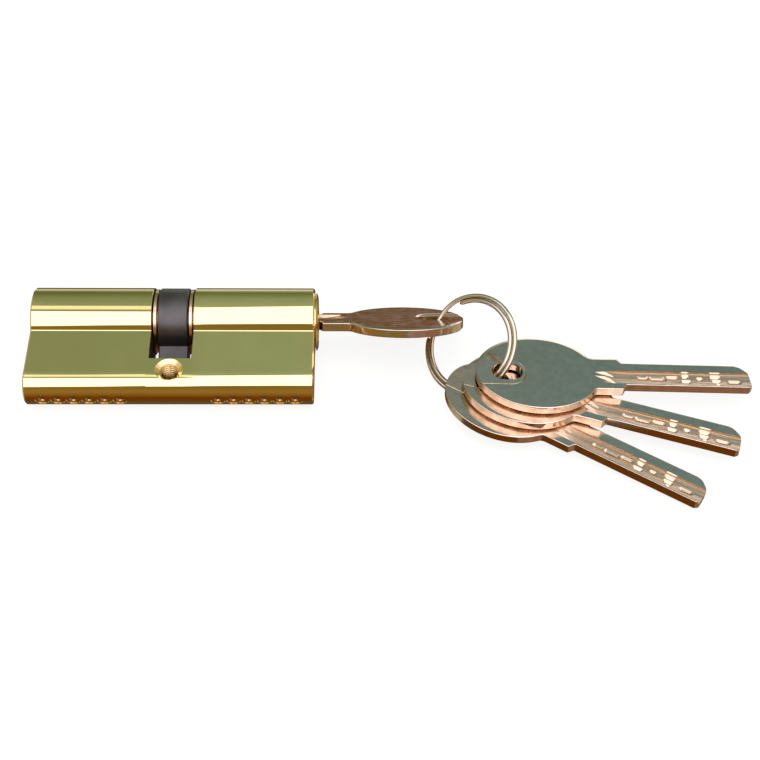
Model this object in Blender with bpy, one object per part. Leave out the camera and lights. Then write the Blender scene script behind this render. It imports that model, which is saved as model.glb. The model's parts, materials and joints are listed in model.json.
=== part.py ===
"""Double euro-profile lock cylinder, 35/35, lying on its flank, with four dimple keys on a split ring.

The lock's own frame has x along the barrel towards the keyed end, z from the stem up through the barrel
and y across the flanks. An empty lays that frame on the table: the far flank's stem rounding and the barrel
both touch it. The keys and the ring are placed in the table's frame, whose x is the same barrel axis.
The whole model is then shifted so that the middle of its base is the origin. Dimensions are in millimetres.
"""

import math

import bmesh
import bpy
from mathutils import Matrix, Vector

MM = 0.001
CLEARANCE = 0.3

# Profile bar
HALF_LENGTH = 35.0
BARREL_RADIUS = 8.5
STEM_HALF_WIDTH = 5.0
STEM_DEPTH = 24.5
END_CHAMFER = 0.35
BORE_RADIUS = 6.8
GAP_HALF_WIDTH = 5.15
GAP_FLOOR = -15.3
SCREW_HOLE_Z = -19.0
SCREW_HOLE_RADIUS = 2.1
COUNTERSINK_RADIUS = 3.4
COUNTERSINK_DEPTH = 1.6

# Pin chambers, six in each half
CHAMBERS = 6
FIRST_CHAMBER_X = 30.6
CHAMBER_PITCH = 3.75
CHAMBER_RADIUS = 1.6
PIN_RADIUS = 1.3
PIN_NOSE_RADIUS = 0.6
PIN_NOSE_LENGTH = 0.85
KEY_PIN_LENGTH = 5.4
DRIVER_LENGTH = 4.45
DRIVER_TOP = -6.85
CAP_TOP = -22.6
CAP_BOTTOM = -24.2
CHAMBER_SIDES = 12
PIN_SIDES = 10
SPRING_RADIUS = 1.0
SPRING_WIRE = 0.17
SPRING_TURNS = 3.5
LOCKED_PIN_RISE = 1.2
LOCKED_DRIVER_RISE = 1.5

# Plugs, cam, clips and clutch
PLUG_RADIUS = 6.5
PLUG_FACE_X = 35.9
LOCKED_FACE_X = 35.3
PLUG_RIM_WIDTH = 1.0
PLUG_FACE_RECESS = 0.3
COLLAR_RADIUS = 7.3
COLLAR_BACK_X = 35.3
COLLAR_EDGE_X = 35.45
COLLAR_FACE_RADIUS = 5.9
PLUG_SHOULDER_X = 5.15
TAIL_RADIUS = 5.2
GROOVE_RADIUS = 4.6
TAIL_END_X = 1.2
CAM_HALF_WIDTH = 3.65
CAM_RADIUS = 8.4
CAM_BORE_RADIUS = 5.5
LEVER_RADIUS = 14.95
LEVER_HALF_WIDTH = 2.5
CLIP_NEAR_X = 3.95
CLIP_FAR_X = 4.85
CLIP_INNER_RADIUS = 4.9
CLIP_OUTER_RADIUS = 8.1
CLIP_OPENING = math.radians(28)
OUTER_CLIP_TURN = math.radians(-40)
INNER_CLIP_TURN = math.radians(220)
CLUTCH_HALF_WIDTH = 0.9
CLUTCH_RADIUS = 4.9
LUG_HALF_WIDTH = 1.1
LUG_RADIUS = 6.6
DOG_HALF_WIDTH = 1.2
DOG_REACH = 4.4
DOG_LENGTH = 1.3

# Key
KEY_THICKNESS = 2.3
BOW_HALF_LENGTH = 15.0
BOW_HALF_WIDTH = 12.75
NECK_HALF_WIDTH = 5.6
KEY_SHOULDER = 36.3
KEY_LENGTH = 67.9
BLADE_HALF_WIDTH = 3.9
TIP_UPPER_WIDTH = 1.2
TIP_UPPER_TAPER = 2.6
TIP_LOWER_WIDTH = 3.1
TIP_LOWER_TAPER = 0.8
HOLE_CENTRE = 7.55
HOLE_HALF_STRAIGHT = 1.0
HOLE_RADIUS = 2.85
TRACK_DEPTH = 0.7
TRACK_INNER_EDGE = 1.5
TRACK_OUTER_EDGE = -3.4
KEY_TIP_X = PLUG_FACE_X + CLEARANCE - (KEY_LENGTH - KEY_SHOULDER)

# Split ring: one turn of wire lies inside the other, with a long crossover where only one strand runs
RING_RADIUS = 11.74
RING_WIRE_RADIUS = 0.57
RING_STRAND_SPREAD = 0.6
RING_STRAND_OFFSET = 0.1
RING_CROSSOVER = math.radians(61)
RING_SPLIT_ANGLE = math.radians(142)

# How things lie on the table
TABLE_TILT = math.asin((BARREL_RADIUS - STEM_HALF_WIDTH) / (STEM_DEPTH - STEM_HALF_WIDTH))
KEY_TURN = math.radians(51.7)
LEVER_HOME = math.radians(39.2)
RING_CENTRE = Vector((73.67, -9.76, 9.72))
RING_FACING = math.radians(-49.4)
RING_ELEVATION = math.radians(43.0)
RING_PIVOT = Vector((65.4, -0.5, 8.8))
STACK_TILT = Vector((0.056, 0.012, 1.0)).normalized()
STACK_POINT = Vector((80.0, -20.0, 5.07))
STACK_STEP = KEY_THICKNESS + CLEARANCE
LOOSE_KEYS = {
    "key_loose_top": {"place": (89.47, -19.73), "heading": math.radians(1.6), "level": 2},
    "key_loose_middle": {"place": (86.10, -22.30), "heading": math.radians(-17.4), "level": 1},
    "key_loose_bottom": {"place": (81.43, -23.99), "heading": math.radians(-33.6), "level": 0},
}

BRASS = ("brass", (0.83, 0.70, 0.33, 1.0), 1.0, 0.18)
BRASS_DULL = ("brass_dull", (0.72, 0.58, 0.27, 1.0), 1.0, 0.35)
NICKEL = ("nickel", (0.62, 0.60, 0.54, 1.0), 1.0, 0.25)
SINTERED = ("sintered_steel", (0.07, 0.07, 0.075, 1.0), 0.8, 0.5)
COPPER = ("coppered_steel", (0.78, 0.50, 0.33, 1.0), 1.0, 0.3)
SPRING_STEEL = ("spring_steel", (0.66, 0.65, 0.63, 1.0), 1.0, 0.25)


# ------------------------------------------------------------------ helpers


def clear_scene():
    for obj in list(bpy.data.objects):
        bpy.data.objects.remove(obj, do_unlink=True)


def material(spec):
    name, colour, metallic, roughness = spec
    made = bpy.data.materials.get(name)
    if made is None:
        made = bpy.data.materials.new(name)
        made.use_nodes = True
        shader = made.node_tree.nodes["Principled BSDF"]
        shader.inputs["Base Color"].default_value = colour
        shader.inputs["Metallic"].default_value = metallic
        shader.inputs["Roughness"].default_value = roughness
    return made


def empty(name, matrix, parent=None):
    obj = bpy.data.objects.new(name, None)
    bpy.context.collection.objects.link(obj)
    obj.parent = parent
    obj.matrix_local = matrix
    return obj


def loft(name, rings, spec=None, parent=None):
    """One closed body through rings of millimetre points, capped at both ends."""
    bm = bmesh.new()
    loops = [[bm.verts.new(Vector(p) * MM) for p in ring] for ring in rings]
    count = len(loops[0])
    for low, high in zip(loops, loops[1:]):
        for i in range(count):
            j = (i + 1) % count
            bm.faces.new((low[i], low[j], high[j], high[i]))
    bm.faces.new(reversed(loops[0]))
    bm.faces.new(loops[-1])
    bmesh.ops.recalc_face_normals(bm, faces=bm.faces)
    mesh = bpy.data.meshes.new(name)
    bm.to_mesh(mesh)
    bm.free()
    obj = bpy.data.objects.new(name, mesh)
    bpy.context.collection.objects.link(obj)
    obj.parent = parent
    if spec:
        mesh.materials.append(material(spec))
        mesh.shade_smooth()
        mesh.set_sharp_from_angle(angle=math.radians(35))
    return obj


def circle(radius, sides):
    angles = [math.tau * i / sides for i in range(sides)]
    return [(radius * math.cos(angle), radius * math.sin(angle)) for angle in angles]


def turned_x(name, profile, sides, spec=None, parent=None):
    """A body turned about x, from (x, radius) pairs."""
    rings = [[(x, y, z) for y, z in circle(radius, sides)] for x, radius in profile]
    return loft(name, rings, spec, parent)


def turned_z(name, profile, sides, spec=None, parent=None):
    """A body turned about z, from (z, radius) pairs."""
    rings = [[(x, y, z) for x, y in circle(radius, sides)] for z, radius in profile]
    return loft(name, rings, spec, parent)


def box(name, low, high, spec=None, parent=None):
    corners = [(low[0], low[1]), (high[0], low[1]), (high[0], high[1]), (low[0], high[1])]
    rings = [[(x, y, z) for x, y in corners] for z in (low[2], high[2])]
    return loft(name, rings, spec, parent)


def prism(name, outline, low, high, spec=None, parent=None):
    """An outline in x and y, extruded from z = low to z = high."""
    return loft(name, [[(x, y, z) for x, y in outline] for z in (low, high)], spec, parent)


def combine(target, tool, operation="DIFFERENCE"):
    """A Boolean on the target, with the tool as a hidden guide in the target's own frame."""
    tool.parent = target
    tool.hide_render = True
    tool.display_type = "WIRE"
    modifier = target.modifiers.new(tool.name, "BOOLEAN")
    modifier.operation = operation
    modifier.solver = "EXACT"
    modifier.object = tool


def chamber_x(index):
    return FIRST_CHAMBER_X - CHAMBER_PITCH * index


def moved(obj, x=0.0, z=0.0):
    obj.location = (x * MM, 0.0, z * MM)
    return obj


# ------------------------------------------------------------------ profile bar


def profile_ring(x, inset):
    """The euro profile's outline at x, drawn in by the inset: barrel arc, flank, rounding, flank."""
    radius = BARREL_RADIUS - inset
    half = STEM_HALF_WIDTH - inset
    crease = math.asin(half / radius)
    barrel_steps, rounding_steps = 44, 14
    ring = []
    for i in range(barrel_steps + 1):
        angle = crease + (math.tau - 2 * crease) * i / barrel_steps
        ring.append((x, radius * math.sin(angle), -radius * math.cos(angle)))
    for i in range(rounding_steps + 1):
        angle = math.pi * i / rounding_steps
        ring.append((x, -half * math.cos(angle), -(STEM_DEPTH - STEM_HALF_WIDTH) - half * math.sin(angle)))
    return ring


def cylinder_body(lock):
    ends = (HALF_LENGTH, HALF_LENGTH - END_CHAMFER)
    stations = [(-ends[0], END_CHAMFER), (-ends[1], 0.0), (ends[1], 0.0), (ends[0], END_CHAMFER)]
    body = loft("cylinder_body", [profile_ring(x, inset) for x, inset in stations], BRASS, lock)
    past_end = HALF_LENGTH + 1
    combine(body, turned_x("cut_bore", [(-past_end, BORE_RADIUS), (past_end, BORE_RADIUS)], 48))
    gap_low = (-GAP_HALF_WIDTH, -past_end, GAP_FLOOR)
    gap_high = (GAP_HALF_WIDTH, past_end, past_end)
    combine(body, box("cut_gap", gap_low, gap_high))
    for side in (1, -1):
        for index in range(CHAMBERS):
            span = [(-STEM_DEPTH - 1, CHAMBER_RADIUS), (-BORE_RADIUS + 0.9, CHAMBER_RADIUS)]
            cutter = turned_z(f"cut_chamber_{side}_{index}", span, CHAMBER_SIDES)
            combine(body, moved(cutter, side * chamber_x(index)))
    wide, narrow = STEM_HALF_WIDTH + 0.1, STEM_HALF_WIDTH - COUNTERSINK_DEPTH
    hole_profile = [
        (-wide, COUNTERSINK_RADIUS),
        (-narrow, SCREW_HOLE_RADIUS),
        (narrow, SCREW_HOLE_RADIUS),
        (wide, COUNTERSINK_RADIUS),
    ]
    hole = turned_z("cut_screw_hole", hole_profile, 24)
    combine(body, hole)
    hole.matrix_local = Matrix.Translation((0, 0, SCREW_HOLE_Z * MM)) @ Matrix.Rotation(math.pi / 2, 4, "X")


# ------------------------------------------------------------------ plugs, cam, clips, clutch


def keyway_end(tip_width, taper):
    """The keyway's half width at its end, and where it is full, so that it clears the key's tip."""
    slope = (BLADE_HALF_WIDTH - tip_width) / taper
    shift = CLEARANCE * math.hypot(1, slope)
    return tip_width + shift - slope * CLEARANCE, KEY_TIP_X + (CLEARANCE + taper * slope - shift) / slope


def plug_face(face_x):
    """The rim and the shallow recess of a plug's face."""
    rim_radius = PLUG_RADIUS - PLUG_RIM_WIDTH
    return [(face_x, rim_radius), (face_x - PLUG_FACE_RECESS, rim_radius - PLUG_FACE_RECESS)]


def collared_head():
    """The turning plug ends in a bevelled collar outside the barrel."""
    collar = [(COLLAR_BACK_X, PLUG_RADIUS), (COLLAR_BACK_X, COLLAR_RADIUS), (COLLAR_EDGE_X, COLLAR_RADIUS)]
    return collar + [(PLUG_FACE_X, COLLAR_FACE_RADIUS)] + plug_face(PLUG_FACE_X)


def plain_head():
    edge = 0.25
    corner = [(LOCKED_FACE_X - edge, PLUG_RADIUS), (LOCKED_FACE_X, PLUG_RADIUS - edge)]
    return corner + plug_face(LOCKED_FACE_X)


def plug(name, frame, head):
    """A stepped plug with its keyway, pin chambers and the slot for the clutch's dog."""
    profile = [
        (TAIL_END_X, TAIL_RADIUS - 0.3),
        (TAIL_END_X + 0.3, TAIL_RADIUS),
        (CAM_HALF_WIDTH, TAIL_RADIUS),
        (CAM_HALF_WIDTH, GROOVE_RADIUS),
        (PLUG_SHOULDER_X, GROOVE_RADIUS),
        (PLUG_SHOULDER_X, PLUG_RADIUS),
    ]
    made = turned_x(name, profile + head, 40, BRASS, frame)
    half = BLADE_HALF_WIDTH + CLEARANCE
    tip_x = KEY_TIP_X - CLEARANCE
    open_x = PLUG_FACE_X + 1
    upper_width, upper_x = keyway_end(TIP_UPPER_WIDTH, TIP_UPPER_TAPER)
    lower_width, lower_x = keyway_end(TIP_LOWER_WIDTH, TIP_LOWER_TAPER)
    keyway = [(tip_x, -upper_width), (upper_x, -half), (open_x, -half)]
    keyway += [(open_x, half), (lower_x, half), (tip_x, lower_width)]
    slot_height = KEY_THICKNESS / 2 + CLEARANCE
    combine(made, prism(name + "_cut_keyway", keyway, -slot_height, slot_height))
    for index in range(CHAMBERS):
        span = [(-PLUG_RADIUS - 1, CHAMBER_RADIUS), (-KEY_THICKNESS / 2 + 0.25, CHAMBER_RADIUS)]
        cutter = turned_z(f"{name}_cut_pin_{index}", span, CHAMBER_SIDES)
        combine(made, moved(cutter, chamber_x(index)))
    dog_half = DOG_HALF_WIDTH + CLEARANCE
    dog_floor = TAIL_END_X + DOG_LENGTH + CLEARANCE
    past_tail = TAIL_RADIUS + 1
    dog_low, dog_high = (TAIL_END_X - 1, -past_tail, -dog_half), (dog_floor, past_tail, dog_half)
    combine(made, box(name + "_cut_dog", dog_low, dog_high))


def clip(name, frame):
    """An open retaining ring in the groove on a plug's tail."""
    steps = 22
    span = math.tau - 2 * CLIP_OPENING
    angles = [CLIP_OPENING + span * i / steps for i in range(steps + 1)]
    outer = [(CLIP_OUTER_RADIUS * math.cos(a), CLIP_OUTER_RADIUS * math.sin(a)) for a in angles]
    inner = [(CLIP_INNER_RADIUS * math.cos(a), CLIP_INNER_RADIUS * math.sin(a)) for a in reversed(angles)]
    rings = [[(x, y, z) for y, z in outer + inner] for x in (CLIP_NEAR_X, CLIP_FAR_X)]
    loft(name, rings, COPPER, frame)


def cam_outline():
    """Ring with one lever down -z, in (y, z)."""
    root = math.asin(LEVER_HALF_WIDTH / CAM_RADIUS)
    corner_width, corner_depth = 0.8, 1.2
    tip = math.asin((LEVER_HALF_WIDTH - corner_width) / LEVER_RADIUS)
    steps, tip_steps = 36, 6
    outline = []
    for i in range(steps + 1):
        angle = root + (math.tau - 2 * root) * i / steps
        outline.append((CAM_RADIUS * math.sin(angle), -CAM_RADIUS * math.cos(angle)))
    outline.append((-LEVER_HALF_WIDTH, -LEVER_RADIUS + corner_depth))
    for i in range(tip_steps + 1):
        angle = -tip + 2 * tip * i / tip_steps
        outline.append((LEVER_RADIUS * math.sin(angle), -LEVER_RADIUS * math.cos(angle)))
    outline.append((LEVER_HALF_WIDTH, -LEVER_RADIUS + corner_depth))
    return outline


def cam_and_clutch(lock):
    turned = empty("cam_frame", Matrix.Rotation(KEY_TURN - LEVER_HOME, 4, "X"), lock)
    outline = cam_outline()
    rings = [[(x, y, z) for y, z in outline] for x in (-CAM_HALF_WIDTH, CAM_HALF_WIDTH)]
    cam = loft("cam", rings, SINTERED, turned)
    past = CAM_HALF_WIDTH + 1
    combine(cam, turned_x("cut_cam_bore", [(-past, CAM_BORE_RADIUS), (past, CAM_BORE_RADIUS)], 36))
    slot, reach = LUG_HALF_WIDTH + CLEARANCE, LUG_RADIUS + CLEARANCE
    cut_slot = box("cut_cam_slots", (-past, -reach, -slot), (past, reach, slot))
    combine(cam, cut_slot)
    cut_slot.matrix_local = Matrix.Rotation(LEVER_HOME, 4, "X")

    driven = empty("clutch_frame", Matrix.Rotation(KEY_TURN, 4, "X"), lock)
    half = CLUTCH_HALF_WIDTH
    clutch = turned_x("clutch", [(-half, CLUTCH_RADIUS), (half, CLUTCH_RADIUS)], 28, SINTERED, driven)
    thin = half - 0.05
    lugs = box("add_lugs", (-thin, -LUG_RADIUS, -LUG_HALF_WIDTH), (thin, LUG_RADIUS, LUG_HALF_WIDTH))
    combine(clutch, lugs, "UNION")
    dog_end = TAIL_END_X + DOG_LENGTH
    dog = box("add_dog", (0, -DOG_REACH, -DOG_HALF_WIDTH), (dog_end, DOG_REACH, DOG_HALF_WIDTH))
    combine(clutch, dog, "UNION")


# ------------------------------------------------------------------ pin stacks


def pin(name, frame, x, top, length, nose):
    """A pin down -z from its top, with a coned nose upwards when it meets the key."""
    profile = [(top - length, PIN_RADIUS), (top, PIN_RADIUS)]
    if nose:
        profile[1:] = [(top - PIN_NOSE_LENGTH, PIN_RADIUS), (top, PIN_NOSE_RADIUS)]
    return moved(turned_z(name, profile, PIN_SIDES, BRASS_DULL, frame), x)


def spring(name, frame, x, top):
    bottom = CAP_TOP + CLEARANCE
    steps = round(SPRING_TURNS * 6)
    rings = []
    for i in range(steps + 1):
        angle = math.tau * SPRING_TURNS * i / steps
        height = bottom + SPRING_WIRE + (top - bottom - 2 * SPRING_WIRE) * i / steps
        out = Vector((math.cos(angle), math.sin(angle), 0))
        centre = out * SPRING_RADIUS + Vector((0, 0, height))
        up = Vector((0, 0, 1))
        corners = ((1, 0), (0, 1), (-1, 0), (0, -1))
        rings.append([centre + (out * a + up * b) * SPRING_WIRE for a, b in corners])
    moved(loft(name, rings, SPRING_STEEL, frame), x)


def pin_stacks(side, housing, plug_frame, locked):
    """Six stacks of key pin, driver, spring and cap in one half of the lock."""
    key_pin_top = -(KEY_THICKNESS / 2 - TRACK_DEPTH) - CLEARANCE + (LOCKED_PIN_RISE if locked else 0.0)
    driver_top = DRIVER_TOP + (LOCKED_DRIVER_RISE if locked else 0.0)
    for index in range(CHAMBERS):
        x = chamber_x(index)
        tag = f"{side}_{index + 1}"
        pin(f"key_pin_{tag}", plug_frame, x, key_pin_top, KEY_PIN_LENGTH, True)
        pin(f"driver_pin_{tag}", housing, x, driver_top, DRIVER_LENGTH, False)
        spring(f"pin_spring_{tag}", housing, x, driver_top - DRIVER_LENGTH - CLEARANCE)
        cap_profile = [(CAP_BOTTOM, PIN_RADIUS), (CAP_TOP, PIN_RADIUS)]
        moved(turned_z(f"chamber_cap_{tag}", cap_profile, PIN_SIDES, BRASS, housing), x)


# ------------------------------------------------------------------ keys and ring


def key_outline():
    """Bow, neck, shoulder and blade, from the bow's end at x = 0 to the tip."""
    start = math.asin(NECK_HALF_WIDTH / BOW_HALF_WIDTH)
    bow_steps = 30
    outline = []
    for i in range(bow_steps + 1):
        angle = start + (math.tau - 2 * start) * i / bow_steps
        outline.append((BOW_HALF_LENGTH * (1 + math.cos(angle)), BOW_HALF_WIDTH * math.sin(angle)))
    lower = [
        (KEY_SHOULDER, -NECK_HALF_WIDTH),
        (KEY_SHOULDER, -BLADE_HALF_WIDTH),
        (KEY_LENGTH - TIP_LOWER_TAPER, -BLADE_HALF_WIDTH),
        (KEY_LENGTH, -TIP_LOWER_WIDTH),
    ]
    upper = [
        (KEY_LENGTH, TIP_UPPER_WIDTH),
        (KEY_LENGTH - TIP_UPPER_TAPER, BLADE_HALF_WIDTH),
        (KEY_SHOULDER, BLADE_HALF_WIDTH),
        (KEY_SHOULDER, NECK_HALF_WIDTH),
    ]
    return outline + lower + upper


def key_hole_outline():
    """Round-ended slot near the bow's end."""
    steps = 9
    right = [(-math.pi / 2 + math.pi * i / steps, 1) for i in range(steps + 1)]
    left = [(math.pi / 2 + math.pi * i / steps, -1) for i in range(steps + 1)]
    return [
        (HOLE_CENTRE + side * HOLE_HALF_STRAIGHT + HOLE_RADIUS * math.cos(a), HOLE_RADIUS * math.sin(a))
        for a, side in right + left
    ]


def key(name, frame, pivot):
    """A key whose own frame has the pivot (along, across) of its outline at its origin, mid-thickness."""

    def shift(points):
        return [(x - pivot[0], y - pivot[1]) for x, y in points]

    half = KEY_THICKNESS / 2
    made = prism(name, shift(key_outline()), -half, half, NICKEL, frame)
    combine(made, prism(name + "_cut_hole", shift(key_hole_outline()), -half - 1, half + 1))
    middle = (TRACK_INNER_EDGE + TRACK_OUTER_EDGE) / 2
    past_tip = KEY_LENGTH + 1
    track = [
        (KEY_SHOULDER - 2.5, middle),
        (KEY_SHOULDER + 1.5, TRACK_OUTER_EDGE),
        (past_tip, TRACK_OUTER_EDGE),
        (past_tip, TRACK_INNER_EDGE),
        (KEY_SHOULDER + 1.5, TRACK_INNER_EDGE),
    ]
    floor = half - TRACK_DEPTH
    combine(made, prism(name + "_cut_track_front", shift(track), floor, half + 1))
    flipped = [(x, -y) for x, y in reversed(track)]
    combine(made, prism(name + "_cut_track_back", shift(flipped), -half - 1, -floor))


def key_frame_axes(along, normal):
    """A rotation whose x is the given direction laid into the plane, and whose z is the plane's normal."""
    across = normal.cross(along).normalized()
    return Matrix((across.cross(normal), across, normal)).transposed().to_4x4()


def loose_key(name, spec, table):
    face = STACK_POINT + Vector((0, 0, spec["level"] * STACK_STEP / STACK_TILT.z))
    x, y = spec["place"]
    drop = STACK_TILT.x * (x - face.x) + STACK_TILT.y * (y - face.y)
    bow_centre = Vector((x, y, face.z - drop / STACK_TILT.z)) - STACK_TILT * (KEY_THICKNESS / 2)
    heading = Vector((math.cos(spec["heading"]), math.sin(spec["heading"]), 0))
    axes = key_frame_axes(heading, STACK_TILT)
    pivot = ring_crossing(bow_centre, STACK_TILT)
    local = axes.to_3x3().transposed() @ (pivot - bow_centre)
    frame = empty(name + "_pivot", Matrix.Translation(pivot * MM) @ axes, table)
    key(name, frame, (BOW_HALF_LENGTH + local.x, local.y))


def ring_axes():
    normal = Vector(
        (
            math.sin(RING_FACING) * math.cos(RING_ELEVATION),
            -math.cos(RING_FACING) * math.cos(RING_ELEVATION),
            math.sin(RING_ELEVATION),
        )
    )
    level = Vector((0, 0, 1)).cross(normal).normalized()
    return level, normal.cross(level), normal


def ring_crossing(point, plane_normal):
    """Where the ring's centre line passes through a key's middle plane, on the side away from the lock."""
    level, rise, _ = ring_axes()
    a = plane_normal.dot(level) * RING_RADIUS
    b = plane_normal.dot(rise) * RING_RADIUS
    offset = plane_normal.dot(point - RING_CENTRE)
    middle = math.atan2(b, a)
    spread = math.acos(offset / math.hypot(a, b))
    angles = (middle + spread, middle - spread)
    places = [RING_CENTRE + (level * math.cos(t) + rise * math.sin(t)) * RING_RADIUS for t in angles]
    return max(places, key=lambda place: place.x)


def split_ring(table):
    level, rise, normal = ring_axes()
    steps, sides = 84, 8
    start = RING_SPLIT_ANGLE
    total = 2 * math.tau - RING_CROSSOVER
    rings = []
    for i in range(steps + 1):
        turn = total * i / steps
        across = min(max((turn - math.tau + RING_CROSSOVER) / RING_CROSSOVER, 0.0), 1.0)
        side = 1 - 2 * across * across * (3 - 2 * across)
        angle = start - turn
        out = level * math.cos(angle) + rise * math.sin(angle)
        radius = RING_RADIUS - RING_STRAND_SPREAD * side
        centre = RING_CENTRE - RING_PIVOT + out * radius + normal * RING_STRAND_OFFSET * side
        rings.append([centre + out * c + normal * s for c, s in circle(RING_WIRE_RADIUS, sides)])
    frame = empty("ring_pivot", Matrix.Translation(RING_PIVOT * MM), table)
    loft("key_ring", rings, SPRING_STEEL, frame)


# ------------------------------------------------------------------ assembly


def centre_on_base(table):
    """Shift the whole model so that the middle of its base is the origin."""
    bpy.context.view_layer.update()
    solids = [obj for obj in bpy.data.objects if obj.type == "MESH" and not obj.hide_render]
    points = [obj.matrix_world @ vertex.co for obj in solids for vertex in obj.data.vertices]
    low = Vector([min(p[i] for p in points) for i in range(3)])
    high = Vector([max(p[i] for p in points) for i in range(3)])
    table.location = (-(low.x + high.x) / 2, -(low.y + high.y) / 2, -low.z)


def main():
    clear_scene()
    table = empty("table", Matrix.Identity(4))
    lay_down = Matrix.Rotation(TABLE_TILT - math.pi / 2, 4, "X")
    lock = empty("lock", Matrix.Translation((0, 0, BARREL_RADIUS * MM)) @ lay_down, table)
    cylinder_body(lock)

    outer_plug = empty("outer_plug_frame", Matrix.Rotation(KEY_TURN, 4, "X"), lock)
    inner_half = empty("inner_half_frame", Matrix.Rotation(math.pi, 4, "Z"), lock)
    plug("plug_outer", outer_plug, collared_head())
    plug("plug_inner", inner_half, plain_head())
    clip("circlip_outer", empty("circlip_outer_frame", Matrix.Rotation(OUTER_CLIP_TURN, 4, "X"), lock))
    clip("circlip_inner", empty("circlip_inner_frame", Matrix.Rotation(INNER_CLIP_TURN, 4, "X"), inner_half))
    cam_and_clutch(lock)
    pin_stacks("outer", lock, outer_plug, locked=False)
    pin_stacks("inner", inner_half, inner_half, locked=True)

    shoulder_x = PLUG_FACE_X + CLEARANCE
    turned_key = Matrix.Translation((shoulder_x * MM, 0, 0)) @ Matrix.Rotation(math.pi, 4, "Z")
    key("key_inserted", empty("inserted_key_frame", turned_key, outer_plug), (KEY_SHOULDER, 0.0))
    split_ring(table)
    for name, spec in LOOSE_KEYS.items():
        loose_key(name, spec, table)
    centre_on_base(table)


main()
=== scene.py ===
import json
import math

import bmesh
import bpy
from mathutils import Matrix, Vector


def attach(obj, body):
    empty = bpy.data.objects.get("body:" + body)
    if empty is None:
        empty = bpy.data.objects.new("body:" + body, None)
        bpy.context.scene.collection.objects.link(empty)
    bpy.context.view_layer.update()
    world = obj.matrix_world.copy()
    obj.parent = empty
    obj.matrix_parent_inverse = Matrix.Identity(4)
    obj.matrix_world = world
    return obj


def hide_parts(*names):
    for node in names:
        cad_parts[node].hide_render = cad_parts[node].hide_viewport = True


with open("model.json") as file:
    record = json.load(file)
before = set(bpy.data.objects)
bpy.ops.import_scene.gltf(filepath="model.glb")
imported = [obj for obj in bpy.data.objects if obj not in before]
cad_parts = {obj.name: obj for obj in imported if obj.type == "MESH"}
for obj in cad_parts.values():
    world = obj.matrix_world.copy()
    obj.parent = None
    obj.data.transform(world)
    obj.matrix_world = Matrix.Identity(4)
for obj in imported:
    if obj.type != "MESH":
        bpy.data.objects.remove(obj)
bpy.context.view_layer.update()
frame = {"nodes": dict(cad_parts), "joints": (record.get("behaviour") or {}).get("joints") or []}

# A polished double euro-profile cylinder lying on its flank, a dimple key in its turned plug and three more
# keys on a split ring. Dimensions are in millimetres and repeat those of the solids, objects are in metres.
# The lock's own frame has x along the barrel, z from the stem up through the barrel and y across the flanks.

MM = 0.001
# The attribute that holds each vertex's place as drawn
DRAWN = "drawn_place"

HALF_LENGTH = 35.0
BARREL_RADIUS = 8.5
STEM_HALF_WIDTH = 5.0
STEM_DEPTH = 24.5
CREASE_RADIUS = 0.4
END_CHAMFER = 0.35
SLOT_EDGE = 0.12
BORE_RADIUS = 6.8
GAP_HALF_WIDTH = 5.15
GAP_FLOOR = -15.3
SCREW_HOLE_Z = -19.0
COUNTERSINK_RADIUS = 3.4
COUNTERSINK_SLOPE = 0.7
THREAD_CREST = 2.0
THREAD_PITCH = 0.8
THREAD_DEPTH = 0.42

CHAMBERS = 6
FIRST_CHAMBER_X = 30.6
CHAMBER_PITCH = 3.75
CHAMBER_RADIUS = 1.6
CAP_TOP = -22.6

SPRING_FOOT = -22.3
SPRING_HEADS = {"outer": -13.25, "inner": -11.75}
SPRING_TURNS = 8
SPRING_RADIUS = 1.0
SPRING_WIRE_RADIUS = 0.16

PLUG_RADIUS = 6.5
PLUG_FACE_X = 35.9
LOCKED_FACE_X = 35.3
PLUG_RIM_WIDTH = 1.0
PLUG_FACE_RECESS = 0.3
COLLAR_RADIUS = 7.3
COLLAR_BACK_X = 35.3
COLLAR_EDGE_X = 35.45
COLLAR_FACE_RADIUS = 5.9
PLUG_SHOULDER_X = 5.15
TAIL_RADIUS = 5.2
TAIL_END_X = 1.2
GROOVE_RADIUS = 4.6
CAM_HALF_WIDTH = 3.65
CAM_RADIUS = 8.4
CAM_BORE_RADIUS = 5.5
LEVER_RADIUS = 14.95
LEVER_HALF_WIDTH = 2.5
LUG_SLOT = (6.9, 1.4)
DOG_SLOT = (2.8, 1.5)
CLIP_X = (3.95, 4.85)
CLIP_RADII = (4.9, 8.15)
CLIP_OPENING = math.radians(28)
CLIP_TURNS = {"outer": math.radians(-40), "inner": math.radians(220)}

KEY_THICKNESS = 2.3
BOW_LENGTH = 30.0
BOW_HALF_WIDTH = 12.75
NECK_HALF_WIDTH = 5.6
NECK_FILLET = 1.6
KEY_SHOULDER = 36.3
SHOULDER_SLANT = 0.9
KEY_LENGTH = 67.9
BLADE_HALF_WIDTH = 3.9
TIP_UPPER = (2.6, 1.2)
TIP_LOWER = (0.8, 3.1)
BOW_EDGE = 0.2
# A flat of wear along one edge of the bow: its width and depth, and how far across the bow it begins and
# reaches its full size
BOW_WEAR = (0.6, 0.23)
BOW_WEAR_FROM = (3.0, 7.0)
BLADE_EDGE = 0.12
HOLE_CENTRE = 7.55
HOLE_HALF_STRAIGHT = 1.0
HOLE_RADIUS = 2.8
RECESS_DEPTH = 0.3
RECESS_HALF_WIDTH = 4.1
RECESS_END = 8.4
# The recess's curved wall, from its floor up: share of the depth, how far it has widened, and added height
RECESS_WALL = ((1.0, 0.0, 0.0), (0.53, 0.3, 0.0), (0.19, 0.6, 0.0), (0.0, 1.0, 0.0), (0.0, 2.0, 0.14))
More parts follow.
